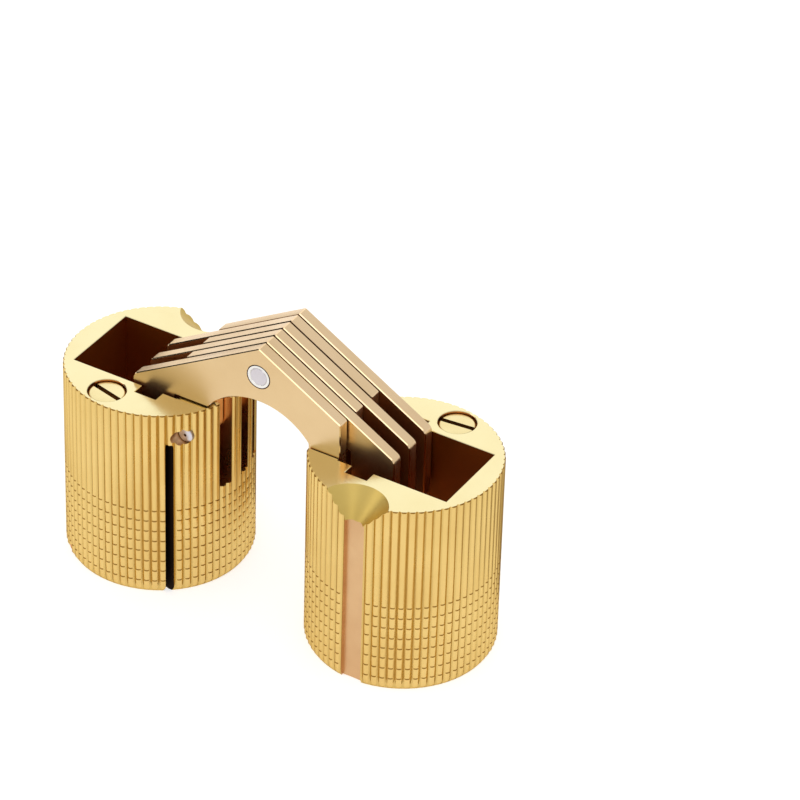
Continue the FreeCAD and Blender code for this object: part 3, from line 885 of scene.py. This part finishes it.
# %% [markdown]
# ## The rivet in the middle
# The centre pin is hammered out at both ends into the countersunk holes of the outer leaves and
# ground flush. A ring shows round its core where the spread metal meets it. It could be two pieces,
# but it is one: the cylinder's ends are extruded, spread to the rivet's size, and a fine groove is
# inset between core and ring.

# %% Centre rivet
CORE_RADIUS = 0.875 * MM
RIVET_DEPTH = RIVET_RADIUS - CORE_RADIUS
RING_GROOVE = 0.05 * MM
low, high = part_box("centre_pin")
axis = (low + high) / 2
deselect()
bpy.ops.mesh.primitive_cylinder_add(
    vertices=64, radius=CORE_RADIUS, depth=high.y - low.y - 2 * RIVET_DEPTH,
    location=axis, rotation=ACROSS)
rivet = settle(bpy.context.object, "centre_rivet")
rivet.data.materials.append(ring_steel)
open_piece(rivet)
spread = RIVET_RADIUS / CORE_RADIUS
for outward in (-1, 1):
    pick(rivet, "faces", lambda face: face.normal.y * outward > 0.99)
    bpy.ops.mesh.extrude_region_move(
        TRANSFORM_OT_translate={"value": (0, outward * RIVET_DEPTH, 0)})
    bpy.ops.transform.resize(value=(spread, 1, spread), center_override=axis)
    bpy.ops.mesh.inset(thickness=RIVET_DEPTH - RING_GROOVE)
    bpy.ops.mesh.inset(thickness=RING_GROOVE, depth=-RING_GROOVE)
    bpy.ops.mesh.inset(thickness=RING_GROOVE, depth=RING_GROOVE)
paint(rivet, ground_steel, lambda face: from_pin(face, RIVET_AXIS) < CORE_RADIUS)
close_piece()
smooth(rivet)
stand_for(rivet, "centre_pin", "even_leaves")
print(count(rivet))

# %% [markdown]
# ## The clamp screws
# A short slotted screw in each face spreads the slit barrel in its hole. Its head is a flat cheese
# head with a broken edge, sunk just under the face. The head is a cylinder whose underside is inset
# and extruded into the shank and its tapered end, and a Boolean box cuts the driver slot. The two
# screws stand at different turns, as screws do, so each is built at its own.

# %% Screws
HEAD_RADIUS, HEAD_HEIGHT, HEAD_ROUNDING = 1.7 * MM, 1.1 * MM, 0.16 * MM
SHANK_RADIUS, SHANK_END, TIP = 1.2 * MM, 8.0 * MM, 0.8 * MM
SLOT_WIDTH, SLOT_DEPTH = 0.5 * MM, 0.55 * MM


def clamp_screw(node, name, body, slot_turn):
    low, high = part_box(node)
    seat = Vector(((low.x + high.x) / 2, (low.y + high.y) / 2, high.z))
    deselect()
    bpy.ops.mesh.primitive_cylinder_add(vertices=64, radius=HEAD_RADIUS, depth=HEAD_HEIGHT,
                                        location=seat - Vector((0, 0, HEAD_HEIGHT / 2)))
    screw = settle(bpy.context.object, name)
    screw.data.materials.append(head_brass)
    open_piece(screw)
    pick(screw, "faces", lambda face: face.normal.z < -0.99)
    bpy.ops.mesh.inset(thickness=HEAD_RADIUS - SHANK_RADIUS)
    for drop in (SHANK_END - HEAD_HEIGHT - TIP, TIP):
        bpy.ops.mesh.extrude_region_move(TRANSFORM_OT_translate={"value": (0, 0, -drop)})
    taper = (SHANK_RADIUS - TIP) / SHANK_RADIUS
    bpy.ops.transform.resize(value=(taper, taper, 1), center_override=seat)
    pick(screw, "edges",
         lambda edge: is_sharp(edge) and all(v.co.z > seat.z - TOUCH for v in edge.verts))
    bpy.ops.mesh.bevel(offset=HEAD_ROUNDING, segments=3, affect="EDGES")
    close_piece()

    deselect()
    bpy.ops.mesh.primitive_cube_add(size=1, location=seat, rotation=(0, 0, math.radians(slot_turn)),
                                    scale=(3 * HEAD_RADIUS, SLOT_WIDTH, 2 * SLOT_DEPTH))
    driver = settle(bpy.context.object, "driver")
    # The driver slot's walls take painted shade.
    driver.data.materials.append(driver_slot_shade)
    cut_away(screw, object=driver)
    bpy.data.objects.remove(driver)
    smooth(screw)
    stand_for(screw, node, body)
    print(count(screw))


clamp_screw("clamp_screw_left", "left_clamp_screw", "left_screw", slot_turn=-13.5)
clamp_screw("clamp_screw_right", "right_clamp_screw", "right_screw", slot_turn=5.6)
